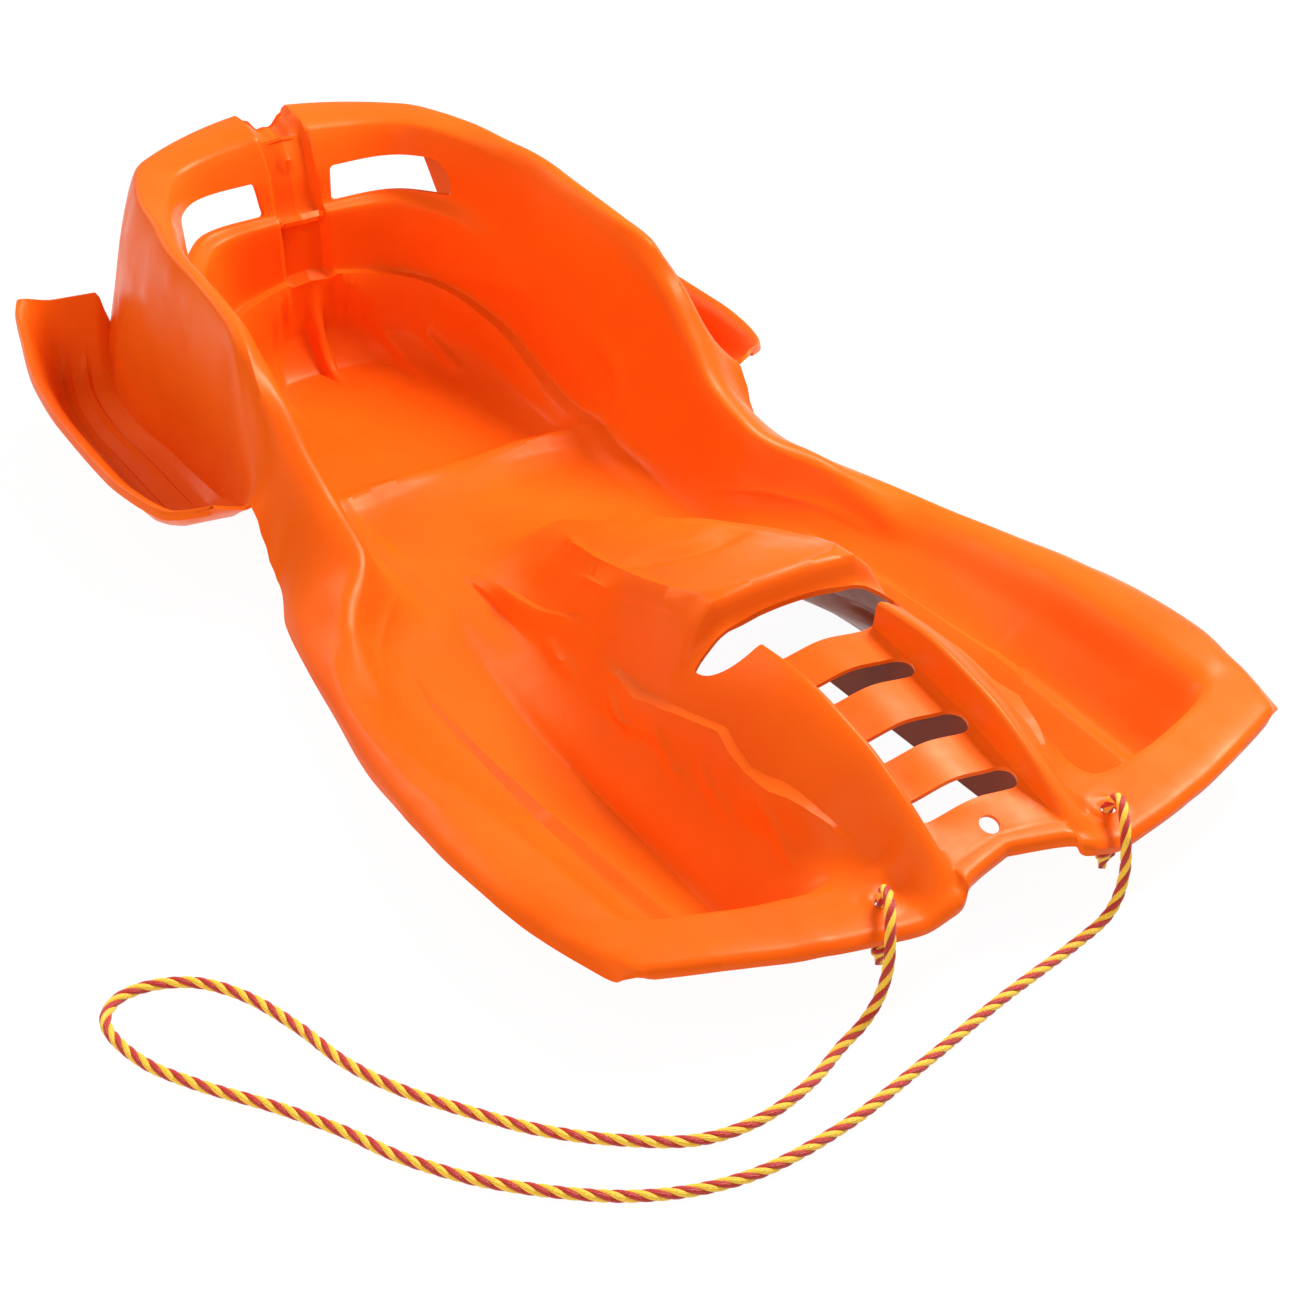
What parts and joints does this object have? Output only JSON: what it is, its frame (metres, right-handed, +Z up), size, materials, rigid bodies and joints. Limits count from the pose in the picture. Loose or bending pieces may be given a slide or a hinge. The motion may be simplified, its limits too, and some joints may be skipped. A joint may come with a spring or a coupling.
{
  "type": "snow sled",
  "caption": "One-piece moulded snow sled with a backrest, hand-hold wings, leg troughs, a slotted bridge and a tow rope.",
  "frame": {"origin": "on the ground under the middle of the moulding's box", "axes": "+Y towards the backrest, the nose points to -Y, +Z up; right is +X and left is -X, as seen by someone who stands before the nose and looks along +Y"},
  "size_m": [0.8689, 1.2282, 0.2278],
  "materials": {
    "moulding": "semi-gloss moulded polyethylene, orange",
    "rope_yellow": "twisted polypropylene rope, yellow strands",
    "rope_red": "twisted polypropylene rope, red strands"
  },
  "bodies": {
    "root": {"sled_shell": "moulding", "tow_rope": "rope_yellow", "left_knot": "rope_yellow", "right_knot": "rope_yellow"}
  },
  "joints": []
}
